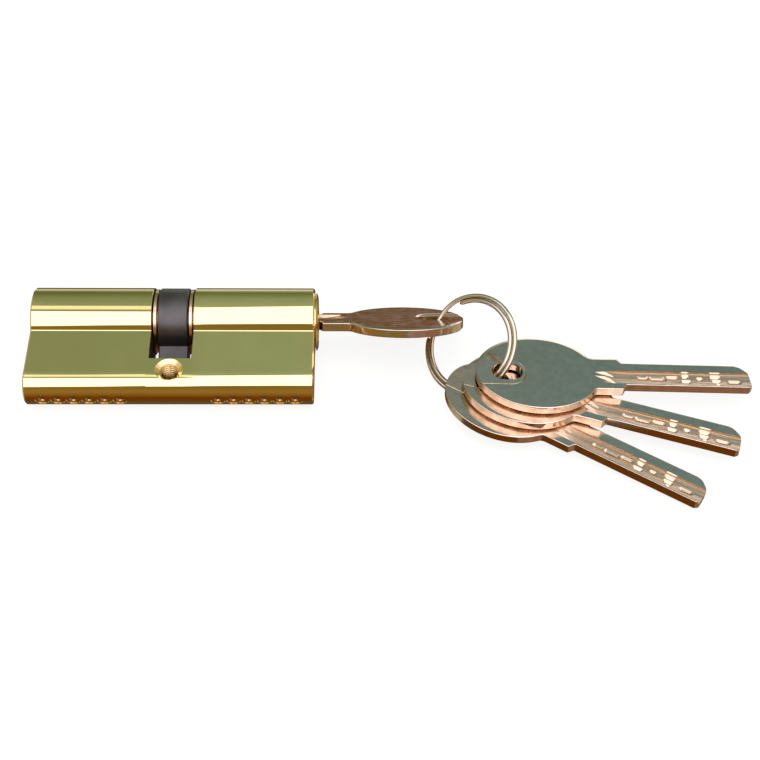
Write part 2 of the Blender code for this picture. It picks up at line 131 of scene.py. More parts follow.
# How far the wall's top stands above the face, so that the cut is clean
RECESS_RIM_LIFT = 0.015
# Room round the inserted key in its plug, and between its shoulder and the plug's face
CLEARANCE = 0.3
KEYWAY_HALF = (BLADE_HALF_WIDTH + CLEARANCE, KEY_THICKNESS / 2 + CLEARANCE)
# The keyway's low and high side at its inner end, and how far from the key's tip it has its full width
KEYWAY_END = (-1.505, 3.22)
KEYWAY_FULL_FROM_TIP = 0.9
# Its mouth: how far it reaches inside and outside the plug's face, and how much wider it gets
KEYWAY_MOUTH = (0.6, 0.4, 0.45)
KEY_TIP_X = PLUG_FACE_X + CLEARANCE - (KEY_LENGTH - KEY_SHOULDER)

# Depth of the milled track across the blade: two shallow valleys side by side between steep walls
TRACK = ((1.1, -0.2), (0.85, 0.46), (-1.3, 0.62), (-1.6, 0.48), (-3.35, 0.78), (-3.62, -0.2))
TRACK_FULL_X = 36.0
TRACK_CUTTER_RADIUS = 18.0
# Where the cutter comes in: start and end of two curved strokes, and their width
STROKES = (((29.2, 0.3), (33.6, -0.3), 1.25), ((29.0, -0.95), (34.8, -2.6), 1.5))
STROKE_SLOPE = 0.45
STROKE_BEND = 0.8
# Coded pockets: x, y, half length, depth, slope of the wall
POCKETS = (
    (41.0, -1.0, 0.9, 0.84, 0.35), (44.5, -1.2, 1.4, 0.88, 0.35), (48.3, -0.8, 1.0, 0.82, 0.35),
    (51.6, -0.05, 0.45, 1.12, 0.90), (51.6, -1.75, 0.75, 1.12, 0.80), (55.1, -0.9, 0.3, 0.90, 0.50),
    (59.1, -0.05, 0.85, 1.12, 0.90), (59.2, -1.5, 0.70, 1.12, 0.80), (59.6, -2.45, 0.30, 0.98, 0.90),
    (63.7, -1.7, 1.1, 0.88, 0.40),
)
POCKET_SHALLOW_SLOPE = 0.6
POCKET_RIM_DEPTH = 0.5

RING_RADIUS = 11.74
RING_WIRE_RADIUS = 0.58
RING_STRAND_SPREAD = 0.6
RING_STRAND_OFFSET = 0.1
RING_CROSSOVER = math.radians(61)
RING_SPLIT_ANGLE = math.radians(142)
RING_CENTRE = Vector((73.67, -9.76, 9.72))
RING_FACING = math.radians(-49.4)
RING_ELEVATION = math.radians(43.0)

KEY_TURN = math.radians(51.7)
LEVER_HOME = math.radians(39.2)
STACK_TILT = Vector((0.056, 0.012, 1.0)).normalized()
STACK_POINT = Vector((80.0, -20.0, 5.07))
STACK_STEP = 2.6
LOOSE_KEYS = {
    "top": {"place": (89.47, -19.73), "heading": math.radians(1.6), "level": 2},
    "middle": {"place": (86.10, -22.30), "heading": math.radians(-17.4), "level": 1},
    "bottom": {"place": (81.43, -23.99), "heading": math.radians(-33.6), "level": 0},
}

JOINTS = {joint["name"]: joint for joint in frame["joints"]}


# ------------------------------------------------------------------ frames


def frame_matrix(origin, along, up):
    across = up.cross(along)
    axes = Matrix((along, across, up)).transposed().to_4x4()
    return Matrix.Translation(origin) @ axes


AXIS_POINT = Vector(JOINTS["plug_turn"]["pos_m"])
STEM_DIRECTION = Vector(JOINTS["stack_inner_1_press"]["axis"]).normalized()
LOCK = frame_matrix(AXIS_POINT, Vector((1, 0, 0)), -STEM_DIRECTION)
TABLE = Matrix.Translation(AXIS_POINT - Vector((0, 0, BARREL_RADIUS * MM)))
INNER_HALF = LOCK @ Matrix.Rotation(math.pi, 4, "Z")


def turned(angle, base=LOCK):
    return base @ Matrix.Rotation(angle, 4, "X")


# ------------------------------------------------------------------ mesh helpers


def loft_bmesh(rings, caps=True, closed=False):
    """Quads through rings of millimetre points."""
    bm = bmesh.new()
    loops = [[bm.verts.new(Vector(p) * MM) for p in ring] for ring in rings]
    if closed:
        loops.append(loops[0])
    count = len(loops[0])
    for low, high in zip(loops, loops[1:]):
        for i in range(count):
            j = (i + 1) % count
            bm.faces.new((low[i], low[j], high[j], high[i]))
    if caps and not closed:
        bm.faces.new(reversed(loops[0]))
        bm.faces.new(loops[-1])
    bmesh.ops.recalc_face_normals(bm, faces=bm.faces)
    return bm


def object_from(name, bm):
    mesh = bpy.data.meshes.new(name)
    bm.to_mesh(mesh)
    bm.free()
    obj = bpy.data.objects.new(name, mesh)
    bpy.context.scene.collection.objects.link(obj)
    return obj


def loft(name, rings, closed=False):
    return object_from(name, loft_bmesh(rings, closed=closed))


def circle(radius, sides, start=0.0):
    angles = [start + math.tau * i / sides for i in range(sides)]
    return [(radius * math.cos(a), radius * math.sin(a)) for a in angles]


def turned_x(name, profile, sides):
    return loft(name, [[(x, y, z) for y, z in circle(radius, sides)] for x, radius in profile])


def turned_z(name, profile, sides):
    return loft(name, [[(x, y, z) for x, y in circle(radius, sides)] for z, radius in profile])


def box(name, low, high):
    corners = ((low[0], low[1]), (high[0], low[1]), (high[0], high[1]), (low[0], high[1]))
    return loft(name, [[(x, y, z) for x, y in corners] for z in (low[2], high[2])])


def bake(obj):
    """Replace the object's mesh with what its modifiers make of it."""
    bpy.context.view_layer.update()
    made = bpy.data.meshes.new_from_object(obj.evaluated_get(bpy.context.evaluated_depsgraph_get()))
    obj.modifiers.clear()
    obj.data = made


def combine(target, tools, operation="DIFFERENCE"):
    """Boolean the tools, which must not touch each other, with the target, and throw them away."""
    bm = bmesh.new()
    for tool in tools:
        tool.data.transform(tool.matrix_basis)
        bm.from_mesh(tool.data)
    joined = object_from("tool", bm)
    modifier = target.modifiers.new("cut", "BOOLEAN")
    modifier.operation = operation
    modifier.solver = "EXACT"
    modifier.object = joined
    bake(target)
    for tool in [*tools, joined]:
        bpy.data.objects.remove(tool)


def shifted(obj, x=0.0, y=0.0, z=0.0, turn=None):
    obj.matrix_basis = Matrix.Translation(Vector((x, y, z)) * MM) @ (turn or Matrix.Identity(4))
    return obj


def piece(obj, place, body, finish, replaced=(), sharp=30):
    """Finish a piece: its place, shading, material, body and the solid that it stands for. Its vertices keep
    the coordinates that it was drawn in, for its material, and are then put in place themselves."""
    drawn = obj.data.attributes.new(DRAWN, "FLOAT_VECTOR", "POINT")
    drawn.data.foreach_set("vector", [number for vertex in obj.data.vertices for number in vertex.co])
    obj.data.transform(place)
    obj.data.shade_smooth()
    obj.data.set_sharp_from_angle(angle=math.radians(sharp))
    modifier = obj.modifiers.new("normals", "WEIGHTED_NORMAL")
    modifier.keep_sharp = True
    bake(obj)
    obj.data.materials.clear()
    obj.data.materials.append(finish)
    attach(obj, body)
    if replaced:
        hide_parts(*replaced)
    return obj


def rounded(corners, steps=5):
    """A closed outline from (x, y, radius) corners, with arcs where the radius isn't zero."""
    outline = []
    count = len(corners)
    for i, (x, y, radius) in enumerate(corners):
        here = Vector((x, y))
        if radius == 0:
            outline.append(here)
            continue
        back = (Vector(corners[i - 1][:2]) - here).normalized()
        forth = (Vector(corners[(i + 1) % count][:2]) - here).normalized()
        half = back.angle(forth) / 2
        centre = here + (back + forth).normalized() * radius / math.sin(half)
        start = here + back * radius / math.tan(half) - centre
        end = here + forth * radius / math.tan(half) - centre
        sweep = start.angle_signed(end)
        for step in range(steps + 1):
            outline.append(centre + Matrix.Rotation(-sweep * step / steps, 2) @ start)
    return outline


def inset(outline, amounts):
    """A counter-clockwise outline moved inwards by the amount for each point."""
    made = []
    count = len(outline)
    for i, (here, amount) in enumerate(zip(outline, amounts)):
        into = (here - outline[i - 1]).normalized()
        out = (outline[(i + 1) % count] - here).normalized()
        first, second = Vector((-into.y, into.x)), Vector((-out.y, out.x))
        middle = (first + second).normalized()
        made.append(here + middle * amount / max(middle.dot(first), 0.5))
    return made


# ------------------------------------------------------------------ materials


class Nodes:
    """Short calls to build one node tree."""

    def __init__(self, tree):
        self.tree = tree

    def add(self, kind, inputs=None, **settings):
        node = self.tree.nodes.new(kind)
        for key, value in settings.items():
            setattr(node, key, value)
        for key, value in (inputs or {}).items():
            if isinstance(value, bpy.types.NodeSocket):
                self.tree.links.new(value, node.inputs[key])
            else:
                node.inputs[key].default_value = value
        return node

    def math(self, operation, first, second=0.0, third=0.0, clamp=False):
        settings = {"operation": operation, "use_clamp": clamp}
        return self.add("ShaderNodeMath", {0: first, 1: second, 2: third}, **settings).outputs[0]

    def ramp(self, factor, stops, interpolation="LINEAR"):
        node = self.add("ShaderNodeValToRGB", {"Fac": factor})
        node.color_ramp.interpolation = interpolation
        elements = node.color_ramp.elements
        while len(elements) < len(stops):
            elements.new(0.5)
        for element, (position, colour) in zip(elements, stops):
            element.position = position
            element.color = (*colour, 1.0)
        return node.outputs["Color"]

    def mix(self, factor, first, second, blend="MIX"):
        inputs = {"Factor": factor, "A": first, "B": second}
        return self.add("ShaderNodeMix", inputs, data_type="RGBA", blend_type=blend).outputs["Result"]

    def noise(self, scale, detail=3.0, coordinates=None, roughness=0.55):
        inputs = {"Scale": 1.0, "Detail": detail, "Roughness": roughness}
        mapping = self.add("ShaderNodeMapping", {"Vector": coordinates, "Scale": scale})
        inputs["Vector"] = mapping.outputs[0]
        return self.add("ShaderNodeTexNoise", inputs).outputs["Fac"]


# Painted shade for the cam's slot: a dark colour and a duller gloss where the slot lies in shadow
SLOT_SHADE_COLOUR = (0.09, 0.07, 0.045, 1.0)
SLOT_SHADE_ROUGHNESS = 0.55


def grey(value):
    return (value, value, value)


def metal(name, base, worn, rough, grain=(60, 2600, 2600), grain_depth=0.0, wave=(14, 130, 130),
          wave_depth=0.0, pitting=0.0, pit_scale=2400, smudge_scale=90, metallic=1.0, milled=None,
          shaded_slot=False, drawn=True):
    """A metal with colour and gloss that vary in smudges, a fine directional grain and a slow waviness.

    Milled gives the colour and the roughness inside a key's track and pockets. The slot flag paints shade
    into the cam's slot: a dark colour with a higher roughness.
    Drawn is for pieces made here; the solids that stay have only their place."""
    made = bpy.data.materials.new(name)
    made.use_nodes = True
    tree = made.node_tree
    shader = tree.nodes["Principled BSDF"]
    nodes = Nodes(tree)
    if drawn:
        place = nodes.add("ShaderNodeAttribute", attribute_name=DRAWN).outputs["Vector"]
    else:
        place = nodes.add("ShaderNodeTexCoord").outputs["Object"]
    smudge = nodes.noise((smudge_scale,) * 3, 5.0, place)
    lines = nodes.noise(grain, 2.0, place)
    waves = nodes.noise(wave, 1.0, place)
    colour = nodes.ramp(smudge, ((0.35, base), (0.72, worn)))
    mixed = nodes.math("ADD", nodes.math("MULTIPLY", smudge, 0.7), nodes.math("MULTIPLY", lines, 0.3))
    gloss = nodes.ramp(mixed, ((0.36, grey(rough[0])), (0.66, grey(rough[1]))))
    if milled:
        cut, deep = track_mask(nodes, place)
        colour = nodes.mix(cut, colour, (*milled[0], 1.0))
        streaks = nodes.ramp(lines, ((0.35, grey(milled[1])), (0.65, grey(milled[1] * 1.6))))
        streaks = nodes.mix(deep, streaks, (*grey(rough[0]), 1.0))
        gloss = nodes.mix(cut, gloss, streaks)
        ridges = nodes.noise((170, 1500, 300), 2.0, place)
        share = nodes.math("MULTIPLY", cut, milled[2] / grain_depth)
        lines = nodes.math("ADD", lines, nodes.math("MULTIPLY", share, ridges))
    # Painted shade: the walls and the floor of the cam's slot are darkened and dulled
    if shaded_slot:
        slot_shade = slot_mask(nodes, place)
        colour = nodes.mix(slot_shade, colour, SLOT_SHADE_COLOUR)
        gloss = nodes.mix(slot_shade, gloss, (*grey(SLOT_SHADE_ROUGHNESS), 1.0))
    tree.links.new(colour, shader.inputs["Base Color"])
    tree.links.new(gloss, shader.inputs["Roughness"])
    shader.inputs["Metallic"].default_value = metallic
    height = nodes.add("ShaderNodeBump", {"Height": waves, "Strength": 1.0, "Distance": wave_depth * MM})
    fine = {"Height": lines, "Strength": 1.0, "Distance": grain_depth * MM, "Normal": height.outputs[0]}
    height = nodes.add("ShaderNodeBump", fine)
    if pitting:
        pits = nodes.noise((pit_scale,) * 3, 4.0, place, 0.7)
        deep = {"Height": pits, "Strength": 1.0, "Distance": pitting * MM, "Normal": height.outputs[0]}
        height = nodes.add("ShaderNodeBump", deep)
    tree.links.new(height.outputs[0], shader.inputs["Normal"])
    return made


def slot_mask(nodes, place):
    """1 on the walls and the floor of the cam's slot, where shade is painted, in the lock's own coordinates.
    """
    x, _, z = nodes.add("ShaderNodeSeparateXYZ", {"Vector": place}).outputs
    beside = nodes.math("LESS_THAN", nodes.math("ABSOLUTE", x), (GAP_HALF_WIDTH + SLOT_EDGE * 0.4) * MM)
    return nodes.math("MULTIPLY", beside, nodes.math("GREATER_THAN", z, (GAP_FLOOR - SLOT_EDGE * 0.4) * MM))


def track_mask(nodes, place):
    """1 on what the cutters have left inside the blade's faces, and 1 on the deep part of the pockets, in a
    key's own coordinates."""
    x, y, z = nodes.add("ShaderNodeSeparateXYZ", {"Vector": place}).outputs
    side = nodes.math("SIGN", z)
    across = nodes.math("MULTIPLY", y, side)
    upper, lower = (TRACK[0][0] + 1.2) * MM, TRACK[-1][0] * MM
    height = nodes.math("ABSOLUTE", z)
    inside = nodes.math("LESS_THAN", height, (KEY_THICKNESS / 2 - 0.02) * MM)
    for bound in (nodes.math("GREATER_THAN", x, 28 * MM), nodes.math("LESS_THAN", across, upper),
                  nodes.math("GREATER_THAN", across, lower)):
        inside = nodes.math("MULTIPLY", inside, bound)
    floor_height = (KEY_THICKNESS / 2 - max(depth for _, depth in TRACK) - 0.03) * MM
    above_track = nodes.math("GREATER_THAN", across, TRACK[0][0] * MM)
    deep = nodes.math("MAXIMUM", nodes.math("LESS_THAN", height, floor_height), above_track)
    return inside, deep


FINISHES = {
    # The brass body gets painted shade in the cam's slot
    "polished_brass": metal("polished_brass", (0.90, 0.70, 0.31), (0.85, 0.65, 0.28), (0.035, 0.075),
                            wave_depth=0.02, grain_depth=0.0004, shaded_slot=True),
    "thread_brass": metal("thread_brass", (0.62, 0.44, 0.17), (0.48, 0.33, 0.12), (0.22, 0.36),
                          grain=(300, 300, 2600), grain_depth=0.002),
    "turned_brass": metal("turned_brass", (0.86, 0.67, 0.30), (0.76, 0.57, 0.24), (0.12, 0.24),
                          grain=(2600, 300, 300), grain_depth=0.002),
    "nickel_silver": metal("nickel_silver", (0.80, 0.62, 0.46), (0.60, 0.48, 0.35), (0.09, 0.24),
                           smudge_scale=520, grain=(90, 1500, 400), grain_depth=0.0015, wave=(60, 60, 60),
                           wave_depth=0.012, pitting=0.0011, pit_scale=900,
                           milled=((0.74, 0.51, 0.32), 0.26, 0.07)),
    "cam_steel": metal("cam_steel", (0.064, 0.058, 0.050), (0.120, 0.104, 0.090), (0.28, 0.42),
                       grain=(2400, 200, 200), grain_depth=0.003, pitting=0.006, metallic=0.85),
    "clip_copper": metal("clip_copper", (0.86, 0.58, 0.40), (0.70, 0.42, 0.26), (0.16, 0.28),
                         grain=(2400, 300, 300), grain_depth=0.002),
    "pin_brass": metal("pin_brass", (0.86, 0.67, 0.30), (0.76, 0.57, 0.24), (0.12, 0.24),
                       grain=(300, 300, 2600), grain_depth=0.002, drawn=False),
    "clutch_steel": metal("clutch_steel", (0.18, 0.17, 0.16), (0.27, 0.25, 0.23), (0.22, 0.36),
                          grain=(300, 2400, 2400), grain_depth=0.003, drawn=False),
    "ring_steel": metal("ring_steel", (0.56, 0.50, 0.37), (0.42, 0.37, 0.25), (0.09, 0.18),
                        grain=(900, 900, 900), grain_depth=0.001),
}


# ------------------------------------------------------------------ profile bar


def profile(drawn_in):
    """The euro profile in (y, z), drawn in: barrel arc, crease fillet, flank, rounding, flank, fillet."""
    radius = BARREL_RADIUS - drawn_in
    half = STEM_HALF_WIDTH - drawn_in
    crease = CREASE_RADIUS + drawn_in
    fillet_z = -math.sqrt((radius + crease) ** 2 - (half + crease) ** 2)
    meet = math.atan2(half + crease, -fillet_z)
    barrel_steps, crease_steps, round_steps, support = 150, 6, 44, 0.25
    barrel = []
    for i in range(barrel_steps + 1):
        angle = meet + (math.tau - 2 * meet) * i / barrel_steps
        barrel.append((radius * math.sin(angle), -radius * math.cos(angle)))
    fillet = []
    for i in range(1, crease_steps + 1):
        angle = meet + (math.pi / 2 - meet) * i / crease_steps
        fillet.append((-(half + crease) + crease * math.sin(angle), fillet_z + crease * math.cos(angle)))
    low_z = -(STEM_DEPTH - STEM_HALF_WIDTH)
    flank = [(-half, fillet_z - support), (-half, low_z + support)]
    rounding = []
    for i in range(round_steps + 1):
        angle = math.pi * i / round_steps
        rounding.append((-half * math.cos(angle), low_z - half * math.sin(angle)))
    side = fillet + flank
    return barrel + side + rounding + [(-y, z) for y, z in reversed(side)]


def bar_half(side):
    stations = (
        (GAP_HALF_WIDTH, SLOT_EDGE),
        (GAP_HALF_WIDTH + SLOT_EDGE, 0.0),
        (HALF_LENGTH - END_CHAMFER, 0.0),
        (HALF_LENGTH, END_CHAMFER),
    )
    return loft("profile_bar", [[(side * x, y, z) for y, z in profile(drawn)] for x, drawn in stations])


def bar_web():
    """The stem below the cam, with its upper corners broken."""
    reach = GAP_HALF_WIDTH + 3 * SLOT_EDGE
    low_z = -(STEM_DEPTH - STEM_HALF_WIDTH)
    steps = 44
    half = STEM_HALF_WIDTH
    arc = [math.pi * i / steps for i in range(steps + 1)]
    ring = [(-half * math.cos(a), low_z - half * math.sin(a)) for a in arc]
    top = [(half, low_z + 0.25), (half, GAP_FLOOR - SLOT_EDGE), (half - SLOT_EDGE, GAP_FLOOR)]
    ring += top + [(-y, z) for y, z in reversed(top)]
    return loft("bar_web", [[(x, y, z) for y, z in ring] for x in (-reach, reach)])


def chamber_tool(x):
    """A drilled chamber with its mouth eased where it opens through the rounding."""
    profile_points = [(-26.0, 2.7), (-24.25, CHAMBER_RADIUS), (-5.9, CHAMBER_RADIUS)]
    return shifted(turned_z("chamber", profile_points, 36), x)


def screw_hole_tool():
    bore, past = THREAD_CREST + THREAD_DEPTH, 0.4
    depth = COUNTERSINK_SLOPE * (COUNTERSINK_RADIUS - bore)
    wide = COUNTERSINK_RADIUS + past / COUNTERSINK_SLOPE
    high, low = STEM_HALF_WIDTH + past, STEM_HALF_WIDTH - depth
    points = [(-high, wide), (-low, bore), (low, bore), (high, wide)]
    across = Matrix.Rotation(math.pi / 2, 4, "X")
    return shifted(turned_z("screw_hole", points, 72), z=SCREW_HOLE_Z, turn=across)


def profile_bar():
    bar = bar_half(1)
    combine(bar, [bar_half(-1)], "UNION")
    combine(bar, [bar_web()], "UNION")
    bore = [(-HALF_LENGTH - 1, BORE_RADIUS), (HALF_LENGTH + 1, BORE_RADIUS)]
    combine(bar, [turned_x("bore", bore, 96)])
    places = [side * (FIRST_CHAMBER_X - CHAMBER_PITCH * i) for side in (1, -1) for i in range(CHAMBERS)]
    combine(bar, [chamber_tool(x) for x in places])
    combine(bar, [screw_hole_tool()])
    piece(bar, LOCK, "housing", FINISHES["polished_brass"], ["cylinder_body"])


def screw_thread():
    """The threaded wall of the fixing hole, as one helical ridge."""
    steps, per_pitch = 48, 8
    span = STEM_HALF_WIDTH - COUNTERSINK_SLOPE * (COUNTERSINK_RADIUS - THREAD_CREST)
    rows = round(2 * span / THREAD_PITCH * per_pitch)
    outer = THREAD_CREST + THREAD_DEPTH + 0.05
    rings = [[(x, y, -span) for x, y in circle(outer, steps)]]
    for row in range(rows + 1):
        z = -span + 2 * span * row / rows
        ring = []
        for i in range(steps):
            angle = math.tau * i / steps
            phase = (z / THREAD_PITCH - i / steps) % 1.0
            radius = THREAD_CREST + THREAD_DEPTH * abs(2 * phase - 1)
            ring.append((radius * math.cos(angle), radius * math.sin(angle), z))
        rings.append(ring)
    rings.append([(x, y, span) for x, y in circle(outer, steps)])
    thread = loft("fixing_thread", rings, closed=True)
    lay = Matrix.Translation((0, 0, SCREW_HOLE_Z * MM)) @ Matrix.Rotation(math.pi / 2, 4, "X")
    piece(thread, LOCK @ lay, "housing", FINISHES["thread_brass"])


def sealing_plugs():
    """The soft brass plugs in the chambers, each with the conical mark of the punch that staked it."""
    radius = CHAMBER_RADIUS - 0.02
    points = [(CAP_TOP, radius), (-24.0, radius), (-24.14, radius - 0.12), (-24.16, 0.98),
              (-24.1, 0.9), (-23.78, 0.6), (-23.72, 0.05)]
    for side, base in (("outer", LOCK), ("inner", INNER_HALF)):
        for index in range(CHAMBERS):
            place = base @ Matrix.Translation(((FIRST_CHAMBER_X - CHAMBER_PITCH * index) * MM, 0, 0))
            node = f"chamber_cap_{side}_{index + 1}"
            cap = turned_z(f"sealing_plug_{side}_{index + 1}", points, 40)
            piece(cap, place, "housing", FINISHES["turned_brass"], [node])


def pin_springs():
    """Coils under the driver pins, as long as a pressed pin leaves them, with a closed turn at each end."""
    per_turn, sides = 20, 8
    total = SPRING_TURNS * per_turn
    closed = 2 * SPRING_WIRE_RADIUS * 1.08
    for side, base in (("outer", LOCK), ("inner", INNER_HALF)):
        foot, head = SPRING_FOOT + SPRING_WIRE_RADIUS, SPRING_HEADS[side] - SPRING_WIRE_RADIUS
        pitch = (head - foot - 2 * closed) / (SPRING_TURNS - 2)
        rings = []
        for i in range(total + 1):
            turn = i / per_turn
            height = foot + closed * min(turn, 1.0) + pitch * min(max(turn - 1.0, 0.0), SPRING_TURNS - 2)
            height += closed * max(turn - SPRING_TURNS + 1, 0.0)
            angle = math.tau * turn
            out, up = Vector((math.cos(angle), math.sin(angle), 0)), Vector((0, 0, 1))
            centre = out * SPRING_RADIUS + up * height
            rings.append([centre + out * c + up * s for c, s in circle(SPRING_WIRE_RADIUS, sides)])
        for index in range(CHAMBERS):
            place = base @ Matrix.Translation(((FIRST_CHAMBER_X - CHAMBER_PITCH * index) * MM, 0, 0))
            coil = loft(f"coil_spring_{side}_{index + 1}", rings)
            node = f"pin_spring_{side}_{index + 1}"
            piece(coil, place, "housing", FINISHES["ring_steel"], [node], sharp=60)


# ------------------------------------------------------------------ plugs, cam, clips


def keyway_tool(face):
    """The keyway with a flared mouth; its end is narrowed to clear the key's tip."""
    half_y, half_z = KEYWAY_HALF
    inward, outward, flare = KEYWAY_MOUTH
    stations = (
        (KEY_TIP_X - CLEARANCE, *KEYWAY_END, half_z),
        (KEY_TIP_X + KEYWAY_FULL_FROM_TIP, -half_y, half_y, half_z),
        (face - inward, -half_y, half_y, half_z),
        (face + outward, -half_y - flare, half_y + flare, half_z + flare),
    )
    rings = [[(x, low, -z), (x, high, -z), (x, high, z), (x, low, z)] for x, low, high, z in stations]
    return loft("keyway", rings)


def plug_head(collared):
    """The front end of a plug: a bevelled collar outside the barrel, or a plain rounded rim."""
    corners = []
    if collared:
        face = PLUG_FACE_X
        corners = [(COLLAR_BACK_X, PLUG_RADIUS), (COLLAR_BACK_X, COLLAR_RADIUS - 0.08)]
        start, end = Vector((COLLAR_EDGE_X, COLLAR_RADIUS)), Vector((face, COLLAR_FACE_RADIUS))
        bulge = 0.12
        for step in range(9):
            part = step / 8
            swell = bulge * math.sin(math.pi * part)
            point = start.lerp(end, part) + Vector((0.95, 0.3)) * swell
            corners.append((min(point.x, face), point.y))
    else:
        face, edge = LOCKED_FACE_X, 0.22
        round_x, round_radius = face - edge, PLUG_RADIUS - edge
        for step in range(6):
            angle = math.pi / 2 * step / 5
            corners.append((round_x + edge * math.sin(angle), round_radius + edge * math.cos(angle)))
    rim = PLUG_RADIUS - PLUG_RIM_WIDTH
    return face, corners + [(face, rim), (face - PLUG_FACE_RECESS, rim - PLUG_FACE_RECESS)]


def plug(name, node, place, body, collared):
    face, head = plug_head(collared)
    points = [
        (TAIL_END_X, TAIL_RADIUS - 0.3),
        (TAIL_END_X + 0.3, TAIL_RADIUS),
        (CAM_HALF_WIDTH, TAIL_RADIUS),
        (CAM_HALF_WIDTH, GROOVE_RADIUS),
        (PLUG_SHOULDER_X, GROOVE_RADIUS),
        (PLUG_SHOULDER_X, PLUG_RADIUS),
        *head,
    ]
    made = turned_x(name, points, 120)
    pins = []
    for index in range(CHAMBERS):
        x = FIRST_CHAMBER_X - CHAMBER_PITCH * index
        pins.append(shifted(turned_z("pin_hole", [(-7.5, CHAMBER_RADIUS), (-0.9, CHAMBER_RADIUS)], 24), x))
    combine(made, pins)
    combine(made, [keyway_tool(face)])
    past = TAIL_RADIUS + 1
    low, high = (TAIL_END_X - 1, -past, -DOG_SLOT[1]), (DOG_SLOT[0], past, DOG_SLOT[1])
    combine(made, [box("dog_slot", low, high)])
    piece(made, place, body, FINISHES["turned_brass"], [node])


def clip(side, place, body):
    """An open retaining ring with broken edges."""
    steps, edge = 88, 0.12
    span = math.tau - 2 * CLIP_OPENING
    (near, far), (inner, outer) = CLIP_X, CLIP_RADII
    section = [
        (near, inner), (far, inner), (far, outer - edge), (far - edge, outer), (near + edge, outer),
        (near, outer - edge),
    ]
    rings = []
    for step in range(steps + 1):
        angle = CLIP_OPENING + span * step / steps
        rings.append([(x, radius * math.cos(angle), radius * math.sin(angle)) for x, radius in section])
    made = loft(f"retaining_ring_{side}", rings)
    piece(made, place, body, FINISHES["clip_copper"], [f"circlip_{side}"])


def cam_outline(drawn_in):
    """Ring with one lever down -z, in (y, z)."""
    ring_radius, half = CAM_RADIUS - drawn_in, LEVER_HALF_WIDTH - drawn_in
    reach = LEVER_RADIUS - drawn_in
    root = math.asin(half / ring_radius)
    tip = math.asin((half - 0.8) / reach)
    steps, tip_steps, corner_depth = 120, 10, 1.2
    outline = []
    for i in range(steps + 1):
        angle = root + (math.tau - 2 * root) * i / steps
        outline.append((ring_radius * math.sin(angle), -ring_radius * math.cos(angle)))
    outline.append((-half, -reach + corner_depth))
    for i in range(tip_steps + 1):
        angle = -tip + 2 * tip * i / tip_steps
        outline.append((reach * math.sin(angle), -reach * math.cos(angle)))
    outline.append((half, -reach + corner_depth))
    return outline


def cam():
    edge = 0.22
    stations = ((-CAM_HALF_WIDTH, edge), (-CAM_HALF_WIDTH + edge, 0.0), (CAM_HALF_WIDTH - edge, 0.0),
                (CAM_HALF_WIDTH, edge))
    made = loft("cam_ring", [[(x, y, z) for y, z in cam_outline(drawn)] for x, drawn in stations])
    past = CAM_HALF_WIDTH + 1
    combine(made, [turned_x("cam_bore", [(-past, CAM_BORE_RADIUS), (past, CAM_BORE_RADIUS)], 72)])
    reach, half = LUG_SLOT
    slot = box("lug_slot", (-past, -reach, -half), (past, reach, half))
    combine(made, [shifted(slot, turn=Matrix.Rotation(LEVER_HOME, 4, "X"))])
    piece(made, turned(KEY_TURN - LEVER_HOME), "cam_set", FINISHES["cam_steel"], ["cam"])


# ------------------------------------------------------------------ keys


def bow_and_fillet():
    """The bow's oval and the round fillets that lead into the neck, counter-clockwise from the upper neck."""
    half_length = BOW_LENGTH / 2

    def fillet_centre(t):
        normal = Vector((math.cos(t) / half_length, math.sin(t) / BOW_HALF_WIDTH)).normalized()
        on_bow = Vector((half_length * (1 + math.cos(t)), BOW_HALF_WIDTH * math.sin(t)))
        return on_bow + normal * NECK_FILLET, normal

    low, high = 0.1, 1.2
    for _ in range(40):
        middle = (low + high) / 2
        if fillet_centre(middle)[0].y < NECK_HALF_WIDTH + NECK_FILLET:
            low = middle
        else:
            high = middle
    centre, normal = fillet_centre(low)
    end = math.atan2(-normal.y, -normal.x)
    fillet_steps, bow_steps = 8, 84
    fillet = []
    for i in range(fillet_steps):
        angle = -math.pi / 2 + (end + math.pi / 2) * i / fillet_steps
        fillet.append(centre + Vector((math.cos(angle), math.sin(angle))) * NECK_FILLET)
    bow = []
    for i in range(bow_steps + 1):
        angle = low + (math.tau - 2 * low) * i / bow_steps
        bow.append(Vector((half_length * (1 + math.cos(angle)), BOW_HALF_WIDTH * math.sin(angle))))
    return fillet + bow + [Vector((p.x, -p.y)) for p in reversed(fillet)]


def key_outline():
    neck, blade = NECK_HALF_WIDTH, BLADE_HALF_WIDTH
    slant = KEY_SHOULDER - SHOULDER_SLANT
    straight = [
        (slant, -neck, 0.35),
        (KEY_SHOULDER, -blade, 0.35),
        (KEY_LENGTH - TIP_LOWER[0], -blade, 0.3),
        (KEY_LENGTH, -TIP_LOWER[1], 0.3),
        (KEY_LENGTH, TIP_UPPER[1], 3.2),
        (KEY_LENGTH - TIP_UPPER[0], blade, 3.2),
        (KEY_SHOULDER, blade, 0.35),
        (slant, neck, 0.35),
    ]
    head = bow_and_fillet()
    anchors = [(*head[-1], 0.0), *straight, (*head[0], 0.0)]
    return head + rounded(anchors)[1:-1]


def hole_outline(radius):
    steps = 20
    points = []
    for side in (1, -1):
        for i in range(steps + 1):
            angle = side * (-math.pi / 2) + math.pi * i / steps
            middle = HOLE_CENTRE + side * HOLE_HALF_STRAIGHT
            points.append((middle + radius * math.cos(angle), radius * math.sin(angle)))
    return points


def hole_tool():
    reach = KEY_THICKNESS
    return loft("hole", [[(x, y, z) for x, y in hole_outline(HOLE_RADIUS)] for z in (-reach, reach)])


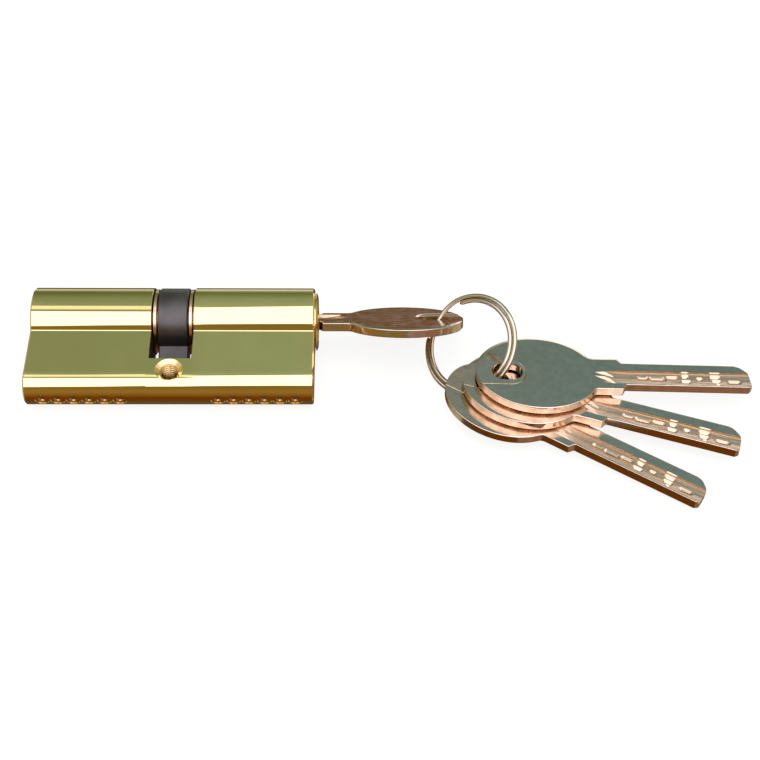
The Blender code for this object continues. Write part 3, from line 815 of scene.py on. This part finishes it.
def recess_tool(side):
    """A bay round the hole, open at the bow's end. Its floor rises to the face on one side and ends in a
    slope on the other, steep at the floor and flatter towards the face."""
    half, steps = KEY_THICKNESS / 2, 24
    rings = []
    for share, grow, lift in RECESS_WALL:
        outline = [(-2.0, -RECESS_HALF_WIDTH - grow)]
        for i in range(steps + 1):
            angle = -math.pi / 2 + math.pi * i / steps
            reach = RECESS_HALF_WIDTH + grow * (1 - math.sin(angle)) / 2
            outline.append((RECESS_END + (reach - 0.6) * math.cos(angle), reach * math.sin(angle)))
        outline.append((-2.0, RECESS_HALF_WIDTH))
        ring = []
        for x, y in outline:
            tilt = min((RECESS_HALF_WIDTH - y) / (2 * RECESS_HALF_WIDTH), 1.0) * 1.05 - 0.05
            height = half - RECESS_DEPTH * tilt * share + lift + RECESS_RIM_LIFT * (1 - share)
            ring.append((x, side * y, side * height))
        rings.append(ring)
    return loft("recess", rings)


def track_tool(side):
    """The milled track on one face. Its start runs out where the round cutter lifts off."""
    half = KEY_THICKNESS / 2
    deepest = max(depth for _, depth in TRACK)
    run = math.sqrt(TRACK_CUTTER_RADIUS**2 - (TRACK_CUTTER_RADIUS - deepest) ** 2)
    steps = 14
    rings = []
    for step in range(steps + 1):
        back = run * 1.06 * (1 - step / steps)
        lift = TRACK_CUTTER_RADIUS - math.sqrt(TRACK_CUTTER_RADIUS**2 - back**2)
        rings.append((TRACK_FULL_X - back, lift))
    rings.append((KEY_LENGTH + 1, 0.0))
    made = []
    for x, lift in rings:
        floor = [(x, side * y, side * (half - depth + lift)) for y, depth in TRACK]
        top = half + 1.0
        made.append(floor + [(x, side * TRACK[-1][0], side * top), (x, side * TRACK[0][0], side * top)])
    return loft("track", made)


def stroke_tool(side, start, end, width):
    """A curved groove with a pointed start: one long slope and one steep wall."""
    half, steps = KEY_THICKNESS / 2, 12
    rings = []
    for step in range(steps + 1):
        part = step / steps
        x = start[0] + (end[0] - start[0]) * part
        y = start[1] + (end[1] - start[1]) * part**STROKE_BEND
        wide = width * max(math.sin(math.pi * min(part, 0.62) * 0.8), 0.05)
        deep = wide * STROKE_SLOPE
        over = 0.3
        low, high = y - wide / 2, y + wide / 2
        section = ((high + over / STROKE_SLOPE, over), (low + 0.08, -deep), (low, over))
        rings.append([(x, side * across, side * (half + height)) for across, height in section])
    return loft("stroke", rings)


def pocket_tool(side, x, y, length, deep, slope):
    """A pocket drilled with a blunt cone moved along the blade. A gently sloped one gets a steep rim."""
    half, steps, past = KEY_THICKNESS / 2, 14, 0.1
    at_floor = (deep - POCKET_RIM_DEPTH) / slope
    above = POCKET_RIM_DEPTH + past
    spread = above / slope if slope > POCKET_SHALLOW_SLOPE else above * 0.3
    rings = []
    for depth, radius in ((deep, 0.05), (POCKET_RIM_DEPTH, at_floor), (-past, at_floor + spread)):
        ring = []
        for end in (1, -1):
            for i in range(steps + 1):
                angle = end * (-math.pi / 2) + math.pi * i / steps
                along = x + end * length + radius * math.cos(angle)
                across = side * y + radius * math.sin(angle)
                ring.append((along, across, side * (half - depth)))
        rings.append(ring)
    return loft("pocket", rings)


def key_mesh():
    half = KEY_THICKNESS / 2
    outline = key_outline()
    edges = [BOW_EDGE if p.x < KEY_SHOULDER - SHOULDER_SLANT else BLADE_EDGE for p in outline]
    start, full = BOW_WEAR_FROM
    rings = []
    steps = 6
    for side in (-1, 1):
        worn = [min(max((side * p.y - start) / (full - start), 0.03), 1.0) for p in outline]
        face = [edge + BOW_WEAR[0] * share for edge, share in zip(edges, worn)]
        levels = [[(p.x, p.y, side * half) for p in inset(outline, face)]]
        for step in range(steps + 1):
            angle = math.pi / 2 * step / steps
            ring = inset(outline, [edge * (1 - math.sin(angle)) for edge in edges])
            lost = [edge * (1 - math.cos(angle)) + BOW_WEAR[1] * share for edge, share in zip(edges, worn)]
            levels.append([(p.x, p.y, side * (half - depth)) for p, depth in zip(ring, lost)])
        rings += levels if side < 0 else levels[::-1]
    made = loft("key", rings)
    combine(made, [recess_tool(1), recess_tool(-1)])
    combine(made, [hole_tool()])
    combine(made, [track_tool(1), track_tool(-1)])
    for start, end, width in STROKES:
        combine(made, [stroke_tool(1, start, end, width), stroke_tool(-1, start, end, width)])
    for pocket in POCKETS:
        combine(made, [pocket_tool(1, *pocket), pocket_tool(-1, *pocket)])
    return made


def key_place(spec):
    """A loose key's frame on the table, from where its bow's middle lies."""
    face = STACK_POINT + Vector((0, 0, spec["level"] * STACK_STEP / STACK_TILT.z))
    x, y = spec["place"]
    drop = STACK_TILT.x * (x - face.x) + STACK_TILT.y * (y - face.y)
    bow_centre = Vector((x, y, face.z - drop / STACK_TILT.z)) - STACK_TILT * (KEY_THICKNESS / 2)
    heading = Vector((math.cos(spec["heading"]), math.sin(spec["heading"]), 0))
    across = STACK_TILT.cross(heading).normalized()
    along = across.cross(STACK_TILT)
    to_bow_end = Matrix.Translation((-BOW_LENGTH / 2 * MM, 0, 0))
    return TABLE @ frame_matrix(bow_centre * MM, along, STACK_TILT) @ to_bow_end


def keys():
    pattern = key_mesh()
    bow_end = (PLUG_FACE_X + CLEARANCE + KEY_SHOULDER) * MM
    into_plug = Matrix.Translation((bow_end, 0, 0)) @ Matrix.Rotation(math.pi, 4, "Z")
    places = {"inserted": (turned(KEY_TURN) @ into_plug, "turned_key", "key_inserted")}
    for name, spec in LOOSE_KEYS.items():
        places[name] = (key_place(spec), f"loose_key_{name}", f"key_loose_{name}")
    for name, (place, body, node) in places.items():
        made = bpy.data.objects.new(f"cut_key_{name}", pattern.data.copy())
        bpy.context.scene.collection.objects.link(made)
        piece(made, place, body, FINISHES["nickel_silver"], [node], sharp=16)
    bpy.data.objects.remove(pattern)


# ------------------------------------------------------------------ split ring


def split_ring():
    """Two turns of wire, one inside the other, with a long crossover and blunted ends."""
    cosine = math.cos(RING_ELEVATION)
    facing = (math.sin(RING_FACING) * cosine, -math.cos(RING_FACING) * cosine, math.sin(RING_ELEVATION))
    normal = Vector(facing)
    level = Vector((0, 0, 1)).cross(normal).normalized()
    rise = normal.cross(level)
    steps, sides = 420, 16
    total = 2 * math.tau - RING_CROSSOVER
    rings = []
    for i in range(steps + 1):
        turn = total * i / steps
        across = min(max((turn - math.tau + RING_CROSSOVER) / RING_CROSSOVER, 0.0), 1.0)
        side = 1 - 2 * across * across * (3 - 2 * across)
        angle = RING_SPLIT_ANGLE - turn
        out = level * math.cos(angle) + rise * math.sin(angle)
        radius = RING_RADIUS - RING_STRAND_SPREAD * side
        centre = RING_CENTRE + out * radius + normal * RING_STRAND_OFFSET * side
        from_end = min(turn, total - turn) * RING_RADIUS
        thin = min(1.0, 0.45 + 0.55 * math.sqrt(min(from_end / 0.9, 1.0)))
        section = circle(RING_WIRE_RADIUS * thin, sides)
        rings.append([centre + out * c + normal * s for c, s in section])
    made = loft("split_ring", rings)
    piece(made, TABLE, "ring", FINISHES["ring_steel"], ["key_ring"], sharp=50)


# ------------------------------------------------------------------ solids that stay


def dress_solids():
    """Materials for the pins and the clutch inside the lock."""
    finishes = {"key_pin": "pin_brass", "driver_pin": "pin_brass", "clutch": "clutch_steel"}
    for name, node in frame["nodes"].items():
        for start, finish in finishes.items():
            if name.startswith(start):
                for holder in node.material_slots:
                    holder.material = FINISHES[finish]


# ------------------------------------------------------------------ stage


def soft_step(nodes, value, edge, width):
    """0 below the edge, 1 above it, in degrees."""
    return nodes.math("MULTIPLY_ADD", nodes.math("SUBTRACT", value, edge), 1 / width, 0.5, clamp=True)


def degree_ramp(nodes, turn, stops):
    return nodes.ramp(turn, [(0.5 + angle / 360, colour) for angle, colour in stops])


def studio_world():
    """What the metal reflects: a bright panel above the front, a grey-green room behind, and a brown table
    below."""
    world = bpy.data.worlds.new("studio")
    world.use_nodes = True
    bpy.context.scene.world = world
    tree = world.node_tree
    nodes = Nodes(tree)
    direction = nodes.add("ShaderNodeTexCoord").outputs["Generated"]
    split = nodes.add("ShaderNodeSeparateXYZ", {"Vector": direction})
    x, y, z = split.outputs
    # Angle about x from straight up, positive towards the front, and the slant away from that plane
    around = nodes.math("ARCTAN2", nodes.math("MULTIPLY", y, -1.0), z)
    flat = nodes.math("SQRT", nodes.math("ADD", nodes.math("MULTIPLY", y, y), nodes.math("MULTIPLY", z, z)))
    slant = nodes.math("ARCTAN2", x, flat)
    degrees = nodes.math("MULTIPLY", around, 180 / math.pi)
    aside = nodes.math("MULTIPLY", slant, 180 / math.pi)
    held = nodes.math("MINIMUM", nodes.math("MAXIMUM", aside, -15.0), 10.0)
    # 0 at -15 degrees aside, 1 at 10
    held_share = nodes.math("MULTIPLY_ADD", held, 0.04, 0.6)
    left = nodes.math("LESS_THAN", aside, -6.5)
    left = nodes.math("MULTIPLY", left, nodes.math("GREATER_THAN", aside, -13.8))
    right = nodes.math("SUBTRACT", 1.0, left)
    # The lower edge of the bright panel steps up on the left, and a pale batten hangs below it there
    low = nodes.math("MINIMUM", nodes.math("MULTIPLY_ADD", held, -1.3, -8.1), 0.0)
    low = nodes.math("ADD", nodes.math("MULTIPLY", low, right), nodes.math("MULTIPLY", left, 15.0))
    low = nodes.math("SUBTRACT", low, nodes.math("MULTIPLY", nodes.math("LESS_THAN", aside, -13.8), 20.0))
    high = nodes.ramp(held_share, (
        (0.0, grey(0.66)), (0.2, grey(0.61)), (0.32, grey(0.60)), (0.36, grey(0.57)), (0.5, grey(0.55)),
        (0.58, grey(0.56)), (0.72, grey(0.68)), (1.0, grey(0.68)),
    ))
    high = nodes.math("MULTIPLY", nodes.add("ShaderNodeRGBToBW", {"Color": high}).outputs[0], 100.0)
    panel = nodes.math("MULTIPLY", soft_step(nodes, degrees, low, 2.0), soft_step(nodes, high, degrees, 3.0))
    batten = nodes.math("MULTIPLY", soft_step(nodes, degrees, -6.0, 2.0), soft_step(nodes, 7.0, degrees, 2.5))
    batten = nodes.math("MULTIPLY", batten, left)
    tint = nodes.ramp(held_share, (
        (0.0, (0.87, 0.95, 0.98)), (0.32, (0.90, 1.0, 1.05)), (0.36, (1.02, 1.14, 1.26)),
        (0.5, (1.0, 1.13, 1.24)), (0.8, (1.3, 1.15, 1.55)), (0.89, (1.36, 1.28, 1.84)),
        (1.0, (0.80, 1.16, 1.95)),
    ))
    turn = nodes.math("MULTIPLY_ADD", degrees, 1 / 360, 0.5)
    room = degree_ramp(nodes, turn, (
        (-180, (0.12, 0.09, 0.065)), (-112, (0.14, 0.075, 0.026)), (-101, (0.14, 0.075, 0.026)),
        (-96, (0.80, 0.82, 0.78)), (-84, (0.55, 0.60, 0.50)), (-78, (0.26, 0.32, 0.22)),
        (-69, (0.145, 0.17, 0.075)),
        (-51, (0.215, 0.25, 0.16)), (-37, (0.28, 0.335, 0.245)), (-27, (0.30, 0.365, 0.28)),
        (-15, (0.34, 0.405, 0.32)), (20, (0.36, 0.42, 0.34)),
    ))
    wood = degree_ramp(nodes, turn, (
        (60, (0.22, 0.17, 0.065)), (72, (0.25, 0.18, 0.06)), (86, (0.31, 0.20, 0.055)),
        (98, (0.31, 0.185, 0.05)),
        (115, (0.225, 0.112, 0.017)), (129, (0.155, 0.052, 0.005)), (150, (0.15, 0.05, 0.008)),
        (180, (0.12, 0.09, 0.065)),
    ))
    # The table is paler where the keys see it
    near_keys = nodes.ramp(held_share, (
        (0.80, (0.09, 0.05, 0.035)), (0.88, (0.20, 0.115, 0.075)), (0.94, (0.29, 0.17, 0.11)),
        (1.0, (0.31, 0.18, 0.12)),
    ))
    wood = nodes.mix(nodes.math("GREATER_THAN", aside, 3.0), wood, near_keys)
    colour = nodes.mix(1.0, room, tint, "MULTIPLY")
    window = soft_step(nodes, degrees, -97.0, 2.0)
    window = nodes.math("MULTIPLY", window, soft_step(nodes, -82.0, degrees, 3.0))
    window = nodes.math("MULTIPLY", window, nodes.math("GREATER_THAN", aside, 3.0))
    walls = soft_step(nodes, nodes.math("ABSOLUTE", aside), 36.0, 16.0)
    ends = soft_step(nodes, nodes.math("ABSOLUTE", aside), 42.0, 20.0)
    panel = nodes.math("MULTIPLY", panel, nodes.math("MULTIPLY_ADD", ends, -0.85, 1.0))
    lower = nodes.math("GREATER_THAN", degrees, 50.0)
    layers = (
        (window, (1.5, 1.55, 1.5, 1.0)), (walls, (0.52, 0.46, 0.31, 1.0)), (lower, wood),
        (batten, (1.15, 1.25, 1.25, 1.0)), (panel, (2.25, 2.25, 2.8, 1.0)),
    )
    for factor, over in layers:
        colour = nodes.mix(factor, colour, over)
    path = nodes.add("ShaderNodeLightPath")
    plain = nodes.math("ADD", path.outputs["Is Camera Ray"], path.outputs["Is Diffuse Ray"], clamp=True)
    studio = nodes.mix(plain, colour, (0.97, 0.97, 0.96, 1.0))
    tree.links.new(studio, tree.nodes["Background"].inputs["Color"])


def floor():
    """A pale floor that curves up into a wall all round. Metal doesn't see it, it sees the studio."""
    steps, bend_steps = 96, 12
    flat_radius, bend, wall = 1500.0, 600.0, 2500.0
    profile_points = [(flat_radius, 0.0)]
    for i in range(1, bend_steps + 1):
        angle = math.pi / 2 * i / bend_steps
        profile_points.append((flat_radius + bend * math.sin(angle), bend * (1 - math.cos(angle))))
    profile_points.append((flat_radius + bend, wall))
    rings = [[(x, y, z) for x, y in circle(radius, steps)] for radius, z in profile_points]
    bm = loft_bmesh(rings, caps=False)
    bm.edges.ensure_lookup_table()
    rim = [edge for edge in bm.edges if edge.is_boundary and max(v.co.z for v in edge.verts) == 0.0]
    bmesh.ops.contextual_create(bm, geom=rim)
    obj = object_from("floor", bm)
    obj.data.shade_smooth()
    made = bpy.data.materials.new("pale_floor")
    made.use_nodes = True
    nodes = Nodes(made.node_tree)
    shader = made.node_tree.nodes["Principled BSDF"]
    place = nodes.add("ShaderNodeTexCoord").outputs["Object"]
    tone = nodes.ramp(nodes.noise((6, 6, 6), 2.0, place), ((0.3, grey(0.115)), (0.7, grey(0.13))))
    made.node_tree.links.new(tone, shader.inputs["Base Color"])
    shader.inputs["Emission Color"].default_value = (1.0, 1.0, 0.985, 1.0)
    shader.inputs["Emission Strength"].default_value = 0.88
    shader.inputs["Roughness"].default_value = 0.9
    shader.inputs["Specular IOR Level"].default_value = 0.1
    obj.data.materials.append(made)
    obj.visible_glossy = False


def lights():
    """One large soft light above; the metal's highlights come from the studio panel instead."""
    data = bpy.data.lights.new("overhead", "AREA")
    data.shape = "DISK"
    data.size = 1.4
    data.energy = 9.0
    obj = bpy.data.objects.new("overhead", data)
    bpy.context.scene.collection.objects.link(obj)
    obj.location = (-0.15, -0.25, 1.1)
    obj.rotation_euler = (-obj.location).to_track_quat("-Z", "Y").to_euler()
    obj.visible_glossy = False


def camera():
    data = bpy.data.cameras.new("camera")
    data.sensor_width = 36.0
    data.lens = 65.52
    data.clip_start = 0.01
    data.clip_end = 20.0
    obj = bpy.data.objects.new("camera", data)
    bpy.context.scene.collection.objects.link(obj)
    azimuth, elevation, roll = (math.radians(angle) for angle in (-1.64, 43.14, 1.18))
    place = TABLE @ Vector((0.04412, -0.2658, 0.23758))
    turn = Matrix.Rotation(azimuth, 4, "Z") @ Matrix.Rotation(math.pi / 2 - elevation, 4, "X")
    obj.matrix_world = Matrix.Translation(place) @ turn @ Matrix.Rotation(roll, 4, "Z")
    bpy.context.scene.camera = obj


def build():
    profile_bar()
    screw_thread()
    sealing_plugs()
    pin_springs()
    plug("plug_keyed", "plug_outer", turned(KEY_TURN), "outer_plug", True)
    plug("plug_locked", "plug_inner", INNER_HALF, "housing", False)
    clip("outer", turned(CLIP_TURNS["outer"]), "outer_plug")
    clip("inner", turned(CLIP_TURNS["inner"], INNER_HALF), "housing")
    cam()
    keys()
    split_ring()
    dress_solids()


camera()
studio_world()
floor()
lights()
build()
bpy.context.scene.view_settings.view_transform = "Standard"
